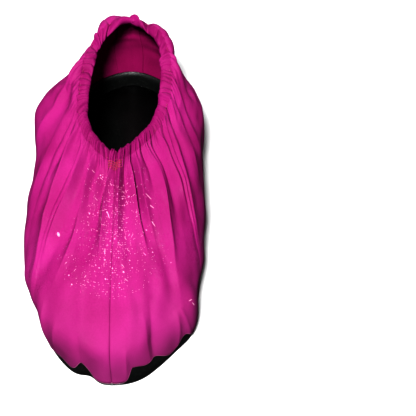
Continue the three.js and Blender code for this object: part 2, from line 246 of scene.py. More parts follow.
RIBS = 108              # gathers of the casing
FINE_COLUMNS = 460      # columns of one panel
FINE_ROWS = 112
CASING_BLEND = 6        # reach in mm over which the panels swell to the face of the casing
CASING_RISE = 1.2       # height of that face over the plain cover
CASING_PUFF = 0.7
RIB_LIFT = 0.3
LOWEST_AT = 0.38        # where the cloth hangs lowest, as a share of the way outward between two crests
BACK_FROM = 0.45        # from here to BACK_TO, round the heel, it hangs lowest half way
BACK_TO = 0.55
SEAM_DEPTH = 0.8
SEAM_REACH = 0.9
UNEVEN_ROUND = 760      # mm round and up that the gentle unevenness is laid over
UNEVEN_UP = 130
UNEVEN_HEIGHT = 0.018   # mm, of a wave of 1 radian per mm; slower ones are higher
UNEVEN_WAVES = 26
CLOTH_ROUND = 700       # mm round that the weave is laid over
random = np.random.default_rng(11)

# Crests of the folds, in turn round the cover: height in mm, hang of the cloth on the way to the next
# crest as a share of the way, share of the way up where each ends, and its places at LINE_LEVELS
LINE_LEVELS = (1, 0.86, 0.63, 0.34, 0)
LINES = (
    (3.0, 0.28, 0.50, 0.012, 0.034, 0.038, 0.038, 0.038),
    (4.5, 0.34, 0.35, 0.094, 0.110, 0.115, 0.112, 0.110),
    (5.5, 0.20, 0.30, 0.166, 0.165, 0.174, 0.150, 0.130),
    (6.5, 0.075, 0.15, 0.266, 0.229, 0.204, 0.162, 0.140),
    (6.5, 0.06, 0.20, 0.365, 0.331, 0.290, 0.240, 0.200),
    (3.5, 0.06, 0.25, 0.420, 0.405, 0.375, 0.345, 0.320),
    (3.0, 0.10, 0.60, 0.446, 0.446, 0.446, 0.446, 0.446),
    (1.6, 0.03, 0.60, 0.478, 0.478, 0.478, 0.478, 0.478),
    (1.6, 0.03, 0.60, 0.520, 0.520, 0.520, 0.520, 0.520),
    (1.6, 0.10, 0.50, 0.552, 0.553, 0.555, 0.555, 0.555),
    (3.0, 0.06, 0.40, 0.575, 0.590, 0.610, 0.625, 0.630),
    (4.5, 0.075, 0.30, 0.603, 0.630, 0.655, 0.680, 0.690),
    (5.0, 0.08, 0.25, 0.636, 0.668, 0.706, 0.740, 0.760),
    (5.5, 0.11, 0.15, 0.680, 0.727, 0.762, 0.790, 0.800),
    (5.0, 0.20, 0.40, 0.768, 0.773, 0.780, 0.800, 0.810),
    (6.0, 0.06, 0.12, 0.858, 0.826, 0.838, 0.870, 0.880),
    (4.0, 0.80, 0.55, 0.922, 0.898, 0.882, 0.890, 0.895),
    (3.5, 0.22, 0.50, 0.940, 0.920, 0.905, 0.912, 0.915),
    (2.5, 0.20, 0.50, 0.984, 0.984, 0.984, 0.984, 0.984),
)

# Swells that the solids don't have, as rows of SWELLS
FINE_SWELLS = (
    (0.360, 0.74, 0.070, 0.20, -1.2),
    (0.640, 0.74, 0.070, 0.20, -1.2),
    (0.483, 0.97, 0.016, 0.14, 1.0),
    (0.464, 0.99, 0.012, 0.12, -0.7),
)

# Gathers: how many ribs each holds, its height, its reach down from the mouth and its roundness
GATHERS = ((1, 2.8, 5, 0.55), (2, 1.0, 12, 1.0), (4, 3.2, 38, 1.5))
GATHER_SIZES = [random.uniform(0.35, 1.3, RIBS // count) for count, *_ in GATHERS]
GATHER_REACHES = [random.uniform(0.55, 1.5, RIBS // count) for count, *_ in GATHERS]
# What spaces the ribs unevenly: waves round the mouth, their sway in ribs and their start
JITTER = [(k, random.uniform(0.2, 0.8) / (k / 5), random.uniform(0, 6.28)) for k in (5, 8, 13, 21, 34)]

# Short crisp creases: place and share of the way up of both ends, half width and height in mm
CREASES = (
    (0.116, 0.31, 0.109, 0.02, 4.0, 1.5),
    (0.089, 0.27, 0.095, 0.03, 3.0, 0.9),
    (0.052, 0.27, 0.051, 0.02, 3.5, -0.8),
    (0.973, 0.22, 0.975, 0.02, 2.6, 1.3),
    (0.936, 0.37, 0.933, 0.03, 5.0, 1.4),
    (0.922, 0.40, 0.928, 0.05, 5.0, -1.6),
    (0.887, 0.26, 0.894, 0.01, 2.6, 1.2),
    (0.880, 0.26, 0.874, 0.03, 2.0, 0.9),
    (0.392, 0.99, 0.391, 0.80, 3.0, 2.0),
    (0.381, 1.00, 0.376, 0.86, 2.0, 1.2),
)


def line_places(up):
    """Places of every line of the folds at shares of the way up."""
    course = np.arange(len(LINE_LEVELS))
    down = np.interp(-up, -np.array(LINE_LEVELS), course)
    low = np.clip(down.astype(int), 0, len(LINE_LEVELS) - 2)
    t = down - low
    places = []
    for _, _, _, *knots in LINES:
        v = np.array([2 * knots[0] - knots[1], *knots, 2 * knots[-1] - knots[-2]])
        before, first, last, after = v[low], v[low + 1], v[low + 2], v[low + 3]
        places.append(hermite(first, last, (last - before) / 2, (after - first) / 2, t))
    return np.array(places)


def between_lines(around, up, values, profile):
    """Values of the lines on a grid, carried from each line to the next by a profile."""
    places = line_places(up)
    total = np.zeros(np.broadcast(around, up).shape)
    for i in range(len(LINES)):
        j = (i + 1) % len(LINES)
        gap = places[j] - places[i] + (j == 0)
        away = (around - places[i]) % 1
        inside = away < gap
        total = np.where(inside, profile(values[i], values[j], np.where(inside, away / gap, 0), gap), total)
    return total


def fold_heights(around, up, speed):
    """Height of the folds on a grid: sharp crests, and the cloth hanging in an arc between them."""
    values = []
    for height, hang, end, place, *_ in LINES:
        low = LOWEST_AT if place < BACK_FROM else 0.5 if place < BACK_TO else 1 - LOWEST_AT
        down = np.clip((1 - up) / (1 - end), 0, 1)
        fade = np.minimum(1, FOLD_START + FOLD_RATE * down) * (1 - down**2)**2
        values.append((height * fade, hang * fade, low))

    def arc(first, last, t, gap):
        low = first[2]
        steep = np.sin(math.pi / 2 * np.clip(t / low, 0, 1))
        rest = 1 - np.clip((t - low) / (1 - low), 0, 1)**2
        if low < 0.5:
            steep = 1 - np.clip(1 - t / low, 0, 1)**2
            rest = np.sin(math.pi / 2 * np.clip((1 - t) / (1 - low), 0, 1))
        fall = np.where(t < low, steep, rest)
        return first[0] * (1 - t) + last[0] * t - 2 * first[1] * gap * speed * fall

    swells = sum(swell_relief(s, around, up) for s in SWELLS + FINE_SWELLS)
    return between_lines(around, up, values, arc) + swells


def gather_places(around, up):
    """Place at the mouth from which the gather through each point of a grid starts."""
    starts = np.array([line[3] for line in LINES])
    carried = between_lines(around, up, list(range(len(LINES))), lambda first, last, t, gap: first + t)
    whole = np.concatenate([starts, starts[:1] + 1])
    at = np.clip(carried, 0, len(LINES))
    return np.interp(at, np.arange(len(LINES) + 1), whole)


def gather_relief(start, distance, slant=0):
    """Height of the gathers at a distance in mm below the mouth."""
    phase = RIBS * start + sum(a * np.sin(2 * np.pi * k * start + p) for k, a, p in JITTER) + slant
    total = 0
    for (count, height, reach, power), sizes, reaches in zip(GATHERS, GATHER_SIZES, GATHER_REACHES):
        cell = np.floor(phase / count)
        number = cell.astype(int) % len(sizes)
        crest = np.abs(np.sin(np.pi * (phase / count - cell)))**power
        total = total + height * sizes[number] * crest * np.exp(-(distance / (reach * reaches[number]))**1.5)
        total = total - 0.5 * height * np.exp(-(distance / reach)**1.5)
    return total


def crease_relief(around, up, speed):
    total = 0
    for at0, up0, at1, up1, wide, height in CREASES:
        share = (up0 - up) / (up0 - up1)
        middle = at0 + (at1 - at0) * np.clip(share, 0, 1)
        fade = np.clip(1 - np.abs(2 * share - 1)**3, 0, 1)
        total = total + height * fade * hump(round_distance(middle, around) * speed, wide, 0, 1.4)
    return total


WAVES = [(random.uniform(0.1, 0.36), random.uniform(0, 6.28), random.uniform(0, 6.28))
         for _ in range(UNEVEN_WAVES)]


def uneven(u, v):
    """Gentle unevenness of loose cloth at places in mm."""
    return sum(UNEVEN_HEIGHT / k * np.sin(k * (u * math.cos(t) + v * math.sin(t)) + p) for k, t, p in WAVES)


def mouth_folds(around):
    """What the casing follows of the folds at places along the mouth."""
    speed, _, _ = plain_axes(around, 1.0)
    return CASING_FOLLOW * fold_heights(around, 1 + 0 * around, speed)


def fine_cloth(around, up, distance, speed):
    """Height of the outer face over the plain cover on a grid."""
    near = np.exp(-(distance / CASING_BLEND)**2)
    at_mouth = mouth_folds(around[0]) + CASING_RISE
    total = (1 - near) * fold_heights(around, up, speed) + near * at_mouth
    total = total + gather_relief(gather_places(around, up), distance)
    total = total + crease_relief(around, up, speed)
    total = total + uneven(around * UNEVEN_ROUND, up * UNEVEN_UP) * (1 - near)
    from_seam = np.minimum(np.abs(round_distance(0, around)), np.abs(round_distance(0.5, around))) * speed
    return total - SEAM_DEPTH * np.exp(-from_seam / SEAM_REACH)


class Cloth:
    """Grid of the outer face of one panel, with its directions and lengths in mm."""

    def __init__(self, first_place, columns=FINE_COLUMNS, rows=FINE_ROWS):
        place = first_place + np.linspace(0, 0.5, columns + 1)
        share = np.linspace(0, 1, rows + 1)[:, None]
        self.up = row_up(place, share)
        self.around = np.broadcast_to(place, self.up.shape)
        plain = plain_point(self.around, self.up)
        self.speed, _, self.out = plain_axes(self.around, self.up)
        steps = np.linalg.norm(np.diff(plain, axis=0), axis=-1)
        self.length = np.concatenate([np.zeros((1, columns + 1)), steps.cumsum(0)])
        self.height = fine_cloth(self.around, self.up, self.length[-1] - self.length, self.speed)
        self.plain = plain

    def layer(self, depth):
        return self.plain + self.out * (self.height - depth)[..., None]

    def sample(self, around, up):
        """Point and outward direction of the outer face at a single place."""
        column = (around - self.around[0, 0]) / 0.5 * (self.up.shape[1] - 1)
        column = int(np.clip(round(column), 0, self.up.shape[1] - 1))
        row = int(np.argmin(np.abs(self.up[:, column] - up)))
        face = self.layer(0)
        i, j = min(max(row, 1), self.up.shape[0] - 2), min(max(column, 1), self.up.shape[1] - 2)
        out = np.cross(face[i + 1, j] - face[i - 1, j], face[i, j + 1] - face[i, j - 1])
        return face[row, column], unit(out)


# Mesh helpers

TUBE_LIFT = np.array([0.31, 0.17, 0.93])   # a direction that no path keeps to
TUBE_END = 0.25         # radius of an open end as a share of the tube's


def piece(name, points, faces, materials, numbers=None, uv=None):
    """Mesh object from points in mm and arrays of faces with equally many corners each."""
    mesh = bpy.data.meshes.new(name)
    points = np.asarray(points, float).reshape(-1, 3) / 1000
    faces = [np.asarray(f, int) for f in faces if len(f)]
    corners = np.concatenate([f.ravel() for f in faces])
    counts = np.concatenate([np.full(len(f), f.shape[1]) for f in faces])
    mesh.vertices.add(len(points))
    mesh.vertices.foreach_set("co", points.ravel())
    mesh.loops.add(len(corners))
    mesh.loops.foreach_set("vertex_index", corners)
    mesh.polygons.add(len(counts))
    mesh.polygons.foreach_set("loop_start", np.concatenate([[0], counts.cumsum()[:-1]]))
    if numbers is not None:
        mesh.polygons.foreach_set("material_index", np.asarray(numbers, int))
    mesh.polygons.foreach_set("use_smooth", np.full(len(counts), True))
    if uv is not None:
        layer = mesh.uv_layers.new(name="cloth")
        layer.data.foreach_set("uv", (np.asarray(uv, float).reshape(-1, 2)[corners] / 1000).ravel())
    mesh.update()
    mesh.validate()
    for material in materials:
        mesh.materials.append(material)
    made = bpy.data.objects.new(name, mesh)
    bpy.context.scene.collection.objects.link(made)
    return made


def grid_faces(first, rows, columns, is_flipped=False, wrap=False):
    """Quads of a grid of points numbered row by row."""
    n = np.arange(rows * columns).reshape(rows, columns) + first
    if wrap:
        n = np.concatenate([n, n[:, :1]], 1)
    quads = np.stack([n[:-1, :-1], n[1:, :-1], n[1:, 1:], n[:-1, 1:]], -1).reshape(-1, 4)
    return quads[:, ::-1] if is_flipped else quads


def ring_faces(lower, upper):
    """Quads between two closed rings of point numbers, or between many pairs of them."""
    return np.stack([lower, upper, np.roll(upper, -1, -1), np.roll(lower, -1, -1)], -1).reshape(-1, 4)


def border(rows, columns, first):
    """Point numbers round the edge of a grid."""
    n = np.arange(rows * columns).reshape(rows, columns) + first
    return np.concatenate([n[0, :-1], n[:-1, -1], n[-1, 1:][::-1], n[1:, 0][::-1]])


def tube(path, radius, sides=6, is_closed=False):
    """Points and quads of a tube along a path, with round ends where it is open."""
    path = np.asarray(path, float)
    if is_closed:
        tangent = unit(np.roll(path, -1, 0) - np.roll(path, 1, 0))
    else:
        tangent = unit(np.gradient(path, axis=0))
    side = unit(np.cross(tangent, TUBE_LIFT))
    lift = np.cross(side, tangent)
    radii = np.full(len(path), radius)
    if not is_closed:
        radii[0] = radii[-1] = radius * TUBE_END
    turn = np.arange(sides) / sides * 2 * np.pi
    ring = side[:, None] * np.cos(turn)[:, None] + lift[:, None] * np.sin(turn)[:, None]
    points = path[:, None] + ring * radii[:, None, None]
    faces = grid_faces(0, len(path), sides, wrap=True)
    if is_closed:
        last = (len(path) - 1) * sides + np.arange(sides)
        faces = np.concatenate([faces, ring_faces(last, np.arange(sides))])
        return points.reshape(-1, 3), faces
    points = np.concatenate([points.reshape(-1, 3), path[:1], path[-1:]])
    return points, faces


def capped(points, sides):
    """Triangles that close both ends of an open tube."""
    n = len(points) - 2
    start = np.arange(sides)
    end = n - sides + start
    head = np.stack([np.full(sides, n), start, np.roll(start, -1)], -1)
    tail = np.stack([np.full(sides, n + 1), np.roll(end, -1), end], -1)
    return np.concatenate([head, tail])


def threads(name, paths, radius, material, sides=6):
    """One piece of many short threads."""
    points, quads, tris, first = [], [], [], 0
    for path in paths:
        p, q = tube(path, radius, sides)
        t = capped(p, sides)
        points.append(p)
        quads.append(q + first)
        tris.append(t + first)
        first += len(p)
    return piece(name, np.concatenate(points), [np.concatenate(quads), np.concatenate(tris)], [material])


# Materials

THREAD_PITCH = 0.42     # mm between the threads of the weave


def new_material(name):
    material = bpy.data.materials.new(name)
    material.use_nodes = True
    nodes = material.node_tree.nodes
    nodes.clear()
    out = nodes.new("ShaderNodeOutputMaterial")
    shader = nodes.new("ShaderNodeBsdfPrincipled")
    material.node_tree.links.new(shader.outputs[0], out.inputs[0])
    return material, nodes, material.node_tree.links, shader


def node(nodes, links, kind, values=None, **properties):
    """A node with its properties set and its inputs given as numbers or sockets."""
    made = nodes.new(kind)
    for key, value in properties.items():
        setattr(made, key, value)
    for key, value in (values or {}).items():
        if isinstance(value, bpy.types.NodeSocket):
            links.new(value, made.inputs[key])
        else:
            made.inputs[key].default_value = value
    return made


def cloth_material(name, deep, light, roughness, damp):
    """Coated woven cloth: a plain weave, slow colour changes, painted sheen on the front of the toe and damp
    places.
    """
    material, nodes, links, shader = new_material(name)

    def add(kind, values=None, **properties):
        return node(nodes, links, kind, values, **properties)

    uv = add("ShaderNodeUVMap", uv_map="cloth").outputs[0]
    place = add("ShaderNodeTexCoord").outputs["Object"]
    pitch = 2 * math.pi / (THREAD_PITCH / 1000)
    split = add("ShaderNodeSeparateXYZ", {0: uv})
    waves = []
    for axis in (0, 1):
        scaled = add("ShaderNodeMath", {0: split.outputs[axis], 1: pitch}, operation="MULTIPLY")
        waves.append(add("ShaderNodeMath", {0: scaled.outputs[0]}, operation="SINE").outputs[0])
    weave = add("ShaderNodeMath", {0: waves[0], 1: waves[1]}, operation="MULTIPLY").outputs[0]
    slow = add("ShaderNodeTexNoise", {"Vector": place, "Scale": 22.0, "Detail": 3.0})
    fine = add("ShaderNodeTexNoise", {"Vector": place, "Scale": 900.0, "Detail": 3.0})
    grain = add("ShaderNodeMath", {0: fine.outputs[0], 1: 0.35}, operation="MULTIPLY")
    mixed = add("ShaderNodeMath", {0: slow.outputs[0], 1: grain.outputs[0]}, operation="ADD")
    shade = add("ShaderNodeMath", {0: weave, 1: 0.06, 2: mixed.outputs[0]}, operation="MULTIPLY_ADD")
    ramp = add("ShaderNodeValToRGB", {0: shade.outputs[0]})
    ramp.color_ramp.elements[0].position = 0.35
    ramp.color_ramp.elements[0].color = (*deep, 1)
    ramp.color_ramp.elements[1].position = 1.0
    ramp.color_ramp.elements[1].color = (*light, 1)
    # painted sheen: paler, greyer colour low on the front of the toe
    axes = add("ShaderNodeSeparateXYZ", {0: place})
    low = add("ShaderNodeMapRange", {0: axes.outputs[2], 1: 0.050, 2: 0.012, 3: 0.0, 4: 0.5}, clamp=True)
    front = add("ShaderNodeMapRange", {0: axes.outputs[1], 1: -0.04, 2: -0.12, 3: 0.0, 4: 1.0}, clamp=True)
    painted_sheen_mask = add("ShaderNodeMath", {0: low.outputs[0], 1: front.outputs[0]}, operation="MULTIPLY")
    painted_sheen_colour = add("ShaderNodeMix", {0: painted_sheen_mask.outputs[0], 6: ramp.outputs[0], 7: (0.24, 0.042, 0.145, 1)},
               data_type="RGBA")
    links.new(painted_sheen_colour.outputs[2], shader.inputs["Base Color"])
    # damp places over the toe and the instep
    spots = add("ShaderNodeTexNoise", {"Vector": place, "Scale": 60.0, "Detail": 4.0, "Roughness": 0.65})
    along = add("ShaderNodeSeparateXYZ", {0: place}).outputs[1]
    near = add("ShaderNodeMapRange", {0: along, 1: 0.02, 2: -0.05, 3: 0.0, 4: 1.0}, clamp=True)
    far = add("ShaderNodeMapRange", {0: along, 1: -0.14, 2: -0.09, 3: 0.0, 4: 1.0}, clamp=True)
    zone = add("ShaderNodeMath", {0: near.outputs[0], 1: far.outputs[0]}, operation="MULTIPLY")
    wet = add("ShaderNodeMapRange", {0: spots.outputs[0], 1: 0.48, 2: 0.62, 3: 0.0, 4: damp}, clamp=True)
    wet = add("ShaderNodeMath", {0: wet.outputs[0], 1: zone.outputs[0]}, operation="MULTIPLY")
    rough = add("ShaderNodeMath", {0: slow.outputs[0], 1: 0.16, 2: roughness - 0.08},
                operation="MULTIPLY_ADD")
    rough = add("ShaderNodeMath", {0: rough.outputs[0], 1: wet.outputs[0]}, operation="SUBTRACT")
    links.new(rough.outputs[0], shader.inputs["Roughness"])
    creased = add("ShaderNodeTexNoise", {"Vector": place, "Scale": 180.0, "Detail": 5.0, "Roughness": 0.6})
    beads = add("ShaderNodeTexVoronoi", {"Vector": place, "Scale": 900.0})
    bead = add("ShaderNodeMapRange", {0: beads.outputs[0], 1: 0.35, 2: 0.0, 3: 0.0, 4: 1.0}, clamp=True)
    bead = add("ShaderNodeMath", {0: bead.outputs[0], 1: wet.outputs[0]}, operation="MULTIPLY")
    height = add("ShaderNodeMath", {0: creased.outputs[0], 1: 0.5, 2: bead.outputs[0]},
                 operation="MULTIPLY_ADD")
    soft = add("ShaderNodeBump", {"Height": height.outputs[0], "Distance": 0.0006, "Strength": 0.55})
    woven = add("ShaderNodeBump", {"Height": weave, "Distance": 0.00006, "Strength": 0.5,
                                   "Normal": soft.outputs[0]})
    links.new(woven.outputs[0], shader.inputs["Normal"])
    shader.inputs["Specular IOR Level"].default_value = 0.12
    shader.inputs["IOR"].default_value = 1.45
    return material


def rubber_material():
    """Black rubber with a fine pebbled grain and pale specks, which are painted glints of the grain."""
    material, nodes, links, shader = new_material("sole_rubber")

    def add(kind, values=None, **properties):
        return node(nodes, links, kind, values, **properties)

    place = add("ShaderNodeTexCoord").outputs["Object"]
    grain = add("ShaderNodeTexVoronoi", {"Vector": place, "Scale": 850.0})
    # painted highlight: pale specks that stand in for light caught by the grain
    glint_noise = add("ShaderNodeTexNoise", {"Vector": place, "Scale": 1500.0, "Detail": 2.0})
    painted_glint_mask = add("ShaderNodeMapRange", {0: glint_noise.outputs[0], 1: 0.66, 2: 0.74, 3: 0.0, 4: 1.0}, clamp=True)
    slow = add("ShaderNodeTexNoise", {"Vector": place, "Scale": 35.0, "Detail": 3.0})
    tone = add("ShaderNodeMix", {0: slow.outputs[0], 6: (0.002, 0.0022, 0.0022, 1),
                                 7: (0.006, 0.007, 0.0065, 1)}, data_type="RGBA")
    painted_glint_colour = add("ShaderNodeMix", {0: painted_glint_mask.outputs[0], 6: tone.outputs[2], 7: (0.07, 0.08, 0.075, 1)},
                data_type="RGBA")
    links.new(painted_glint_colour.outputs[2], shader.inputs["Base Color"])
    rough = add("ShaderNodeMapRange", {0: slow.outputs[0], 1: 0.3, 2: 0.7, 3: 0.3, 4: 0.5})
    links.new(rough.outputs[0], shader.inputs["Roughness"])
    bump = add("ShaderNodeBump", {"Height": grain.outputs[0], "Distance": 0.0003, "Strength": 0.6})
    links.new(bump.outputs[0], shader.inputs["Normal"])
    shader.inputs["Specular IOR Level"].default_value = 0.3
    return material


def thread_material(name, colour):
    """Twisted sewing thread."""
    material, nodes, links, shader = new_material(name)
    place = node(nodes, links, "ShaderNodeTexCoord").outputs["Object"]
    twist = node(nodes, links, "ShaderNodeTexNoise", {"Vector": place, "Scale": 2600.0, "Detail": 1.0})
    dark = tuple(0.75 * c for c in colour)
    tone = node(nodes, links, "ShaderNodeMix", {0: twist.outputs[0], 6: (*dark, 1), 7: (*colour, 1)},
                data_type="RGBA")
    links.new(tone.outputs[2], shader.inputs["Base Color"])
    bump = node(nodes, links, "ShaderNodeBump", {"Height": twist.outputs[0], "Distance": 0.0002})
    links.new(bump.outputs[0], shader.inputs["Normal"])
    shader.inputs["Roughness"].default_value = 0.6
    shader.inputs["Sheen Weight"].default_value = 0.2
    return material


def water_material():
    """Water drops: half clear, half a pale pink colour that is a painted highlight making them glint, tinted
    like the cloth under it.
    """
    material, nodes, links, shader = new_material("water_with_painted_glint")
    # painted highlight: pale pink base colour for the part of each drop that isn't clear
    shader.inputs["Base Color"].default_value = (1.0, 0.5, 0.72, 1)
    shader.inputs["Roughness"].default_value = 0.06
    shader.inputs["IOR"].default_value = 1.33
    shader.inputs["Transmission Weight"].default_value = 0.5
    place = node(nodes, links, "ShaderNodeTexCoord").outputs["Object"]
    ripple = node(nodes, links, "ShaderNodeTexNoise", {"Vector": place, "Scale": 700.0})
    bump = node(nodes, links, "ShaderNodeBump", {"Height": ripple.outputs[0], "Distance": 0.0002,
                                                 "Strength": 0.3})
    links.new(bump.outputs[0], shader.inputs["Normal"])
    return material


outer_cloth = cloth_material("cover_cloth", (0.21, 0.008, 0.095), (0.32, 0.022, 0.178), 0.5, 0.28)
inner_cloth = cloth_material("cover_lining", (0.18, 0.002, 0.06), (0.26, 0.005, 0.10), 0.75, 0.0)
band_cloth = cloth_material("casing_cloth", (0.17, 0.004, 0.072), (0.28, 0.012, 0.145), 0.5, 0.0)
rubber = rubber_material()
# painted highlight: the hem edge's colour is paler than the cloth, standing in for light along the turned
# edge
hem_thread_painted_highlight = thread_material("hem_edge", (0.40, 0.05, 0.21))
seam_thread = thread_material("seam_thread", (0.30, 0.003, 0.09))
red_thread = thread_material("tack_thread", (0.36, 0.0008, 0.06))
water_with_painted_glint = water_material()


# Pieces, with sizes in mm

INNER_DEPTH = 1.3       # from the outer face of the cloth to its inner face

# Sole tray
RIM_PLAY = 0.4          # between the cloth and the sole's rim, past CLEARANCE
TRAY_EDGE = ((2.4, 0), (1.5, 0.15), (0.8, 0.7))   # depth inside the face, height over the underside
TRAY_SIDE = 0.7         # depth of the tray's side inside the face of the cloth
TRAY_BEND = 1.1         # the same where the side bends in under the hem
FLOOR_ROUND = 0.6       # of the corner between the tray's floor and its side
STUD_HEIGHT = 0.5       # of the underside over the ground
STUD_SINK = 0.1         # how far each stud goes into the tray
STUD_PITCH = 6.0
STUD_ROW = 0.866        # distance of the rows as a share of the pitch
STUD_SIDES = 8
STUD_FOOT = 1.3         # radius at the ground
STUD_HEAD = 1.6         # radius inside the tray
STUD_MARGIN = 3         # between the edge and the middle of a stud, at least
STUD_BAND = 1.2         # how near a row the edge of the underside is measured
STUD_FIELD = (72, 150)  # half the width and length that the pattern is laid over

# Casing
RIB_COLUMNS = 10        # columns of the casing for each gather
CASING_FLAT = 1.4       # how much thinner the casing is here than its rise and its solid together
CASING_LAP = 0.8        # how far the casing's face starts below its foot
FACE_ROWS = 12
OVER_ROWS = 9
INSIDE_SHARE = 0.3      # how much of the gathers shows on the inside of the casing

# Hem and seams
HEM_DEPTH = 0.45
HEM_RADIUS = 0.5
HEM_SIDES = 8
SEAM_COLUMNS = 9        # columns of a folded edge inside a seam
SEAM_SINK = 0.1         # how far that edge goes into the cloth
SEAM_THICKNESS = 0.9

# Stitches
STITCH_LENGTH = 0.0062  # share of the way round, as the pitch is
STITCH_PITCH = 0.0088
STITCH_RADIUS = 0.24
STITCH_RISE = 0.75
STITCH_OUT = 1.35
STITCH_BOW = 0.25
STITCH_POINTS = 5

# Tack
TACK_TOP = 0.995        # share of the way up, as the bottom is
TACK_BOTTOM = 0.968
TACK_ROWS = 7
TACK_COLUMNS = 7
TACK_FROM = -0.027      # place of its first stitch
TACK_PITCH = 0.0075
TACK_SHIFT = 0.0022     # of each row against the one above
TACK_RADIUS = 0.42

# Water
DROP_SIDES = 10
DROP_COUNT = 900
DROP_SPREAD = 0.07      # share of the way round, as the reach is
DROP_REACH = 0.14       # how far round from the toe seam the drops may lie
DROP_UP = (0.44, 0.93)  # lowest and highest share of the way up
SMALL_SHARE = 0.93      # how many of the drops are small
SMALL_SIZE = (0.1, 0.27)
OTHER_SIZE = (0.27, 0.55)
RUN_COUNT = 45
RUN_ROUND = (-0.1, 0.11)
RUN_UP = (0.5, 0.92)
RUN_LONG = (0.7, 1.8)
RUN_WIDE = 0.2
RUN_HIGH = 0.18

# Rings of one drop: share of its half widths and of its height
DROP_RINGS = ((1.0, -0.15), (0.95, 0.25), (0.78, 0.62), (0.45, 0.9))

# Large drops and runs: place, share of the way up, half length, half width and turn
LARGE_DROPS = (
    (0.154, 0.57, 1.9, 1.1, 1.2),
    (0.017, 0.785, 3.0, 0.35, 1.7),
    (0.021, 0.635, 2.4, 0.35, 1.9),
    (-0.124, 0.785, 4.0, 0.32, 1.7),
    (-0.128, 0.735, 3.2, 0.32, 1.5),
    (-0.123, 0.67, 2.6, 0.35, 1.8),
    (-0.140, 0.235, 1.8, 0.35, 0.5),
    (-0.142, 0.205, 1.8, 0.35, 1.5),
)


def cloth_panel(name, cloth, node_name):
    """One side panel: its outer face, its inner face and the edge between them."""
    rows, columns = cloth.up.shape
    outer, inner = cloth.layer(0), cloth.layer(INNER_DEPTH)
    count = rows * columns
    faces = [grid_faces(0, rows, columns), grid_faces(count, rows, columns, True),
             ring_faces(border(rows, columns, count), border(rows, columns, 0))]
    numbers = np.concatenate([np.full(len(f), n) for f, n in zip(faces, (0, 1, 0))])
    uv = np.stack([cloth.around * CLOTH_ROUND, cloth.length], -1).reshape(-1, 2)
    made = piece(name, np.concatenate([outer.reshape(-1, 3), inner.reshape(-1, 3)]), faces,
                 [outer_cloth, inner_cloth], numbers, np.concatenate([uv, uv]))
    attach(made, "root")
    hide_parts(node_name)


left, right = Cloth(0), Cloth(0.5)


def stud_points(edge):
    """Points round the foot and the head of each stud that fits inside the edge of the underside."""
    turn = np.arange(STUD_SIDES) / STUD_SIDES * 2 * np.pi
    circle = np.stack([np.cos(turn), np.sin(turn), 0 * turn], -1)
    across, along = STUD_FIELD
    studs = []
    for row, y in enumerate(np.arange(-along, along, STUD_PITCH * STUD_ROW)):
        crossing = edge[np.abs(edge[:, 1] - y) < STUD_BAND]
        if not len(crossing):
            continue
        low, high = crossing[:, 0].min() + STUD_MARGIN, crossing[:, 0].max() - STUD_MARGIN
        for x in np.arange(-across + STUD_PITCH / 2 * (row % 2), across, STUD_PITCH):
            if low < x < high:
                middle = np.array([x, y, 0])
                head = middle + circle * STUD_HEAD + [0, 0, STUD_HEIGHT + STUD_SINK]
                studs.append(np.concatenate([middle + circle * STUD_FOOT, head]))
    return studs


def stud_faces(first, count):
    """Faces of the studs whose points are numbered from the first on."""
    lower = first + np.arange(count)[:, None] * 2 * STUD_SIDES + np.arange(STUD_SIDES)
    upper = lower + STUD_SIDES
    side = ring_faces(lower, upper)
    return [side[:, ::-1], lower[:, ::-1], upper]


def sole_tray():
    """The tray: flat underside with round studs, a rounded edge and a rim inside the cloth."""
    columns = 2 * FINE_COLUMNS
    place = np.arange(columns) / columns
    rim = CLOTH_THICKNESS + CLEARANCE + RIM_PLAY
    inner = rim + RIM_THICKNESS

    def ring(up, depth, z=None):
        speed, _, out = plain_axes(place, up)
        height = fold_heights(place, up + 0 * place, speed)
        points = plain_point(place, up) + out * (height - depth)[..., None]
        if z is not None:
            points[:, 2] = z
        return points

    half = up_at_height(place, hem_level(place) / 2)
    hem, above = row_up(place, 0), row_up(place, 1 / PANEL_ROWS)
    rings = [ring(0 * place, depth, STUD_HEIGHT + rise) for depth, rise in TRAY_EDGE]
    rings += [ring(half, TRAY_SIDE), ring((half + hem) / 2, TRAY_BEND),
              ring(hem, rim), ring((hem + above) / 2, rim), ring(above, rim),
              ring(above, inner), ring((hem + above) / 2, inner), ring(hem, inner),
              ring((half + hem) / 2, inner), ring(half, inner, SOLE_THICKNESS + FLOOR_ROUND),
              ring(half, inner + FLOOR_ROUND, SOLE_THICKNESS)]
    faces = [grid_faces(0, len(rings), columns, wrap=True)]
    points = np.concatenate(rings)
    for first, is_flipped in ((0, True), ((len(rings) - 1) * columns, False)):
        n = first + np.arange(columns)
        a, b = n[1:columns // 2], n[columns // 2 + 1:][::-1]
        quads = np.stack([a[:-1], a[1:], b[1:], b[:-1]], -1)
        ends = np.array([[n[0], a[0], b[0]], [a[-1], n[columns // 2], b[-1]]])
        if not is_flipped:
            quads, ends = quads[:, ::-1], ends[:, ::-1]
        faces += [quads[:, ::-1], ends[:, ::-1]]
    studs = stud_points(rings[0])
    faces += stud_faces(len(points), len(studs))
    made = piece("sole_tray", np.concatenate([points, *studs]), faces, [rubber])
    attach(made, "root")
    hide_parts("sole")


sole_tray()
cloth_panel("cloth_left", left, "upper_left")
cloth_panel("cloth_right", right, "upper_right")


def casing_frame(place):
    _, rise, out = plain_axes(place, 1.0)
    return plain_point(place, 1.0), rise, out, mouth_folds(place) - CLOTH_THICKNESS / 2


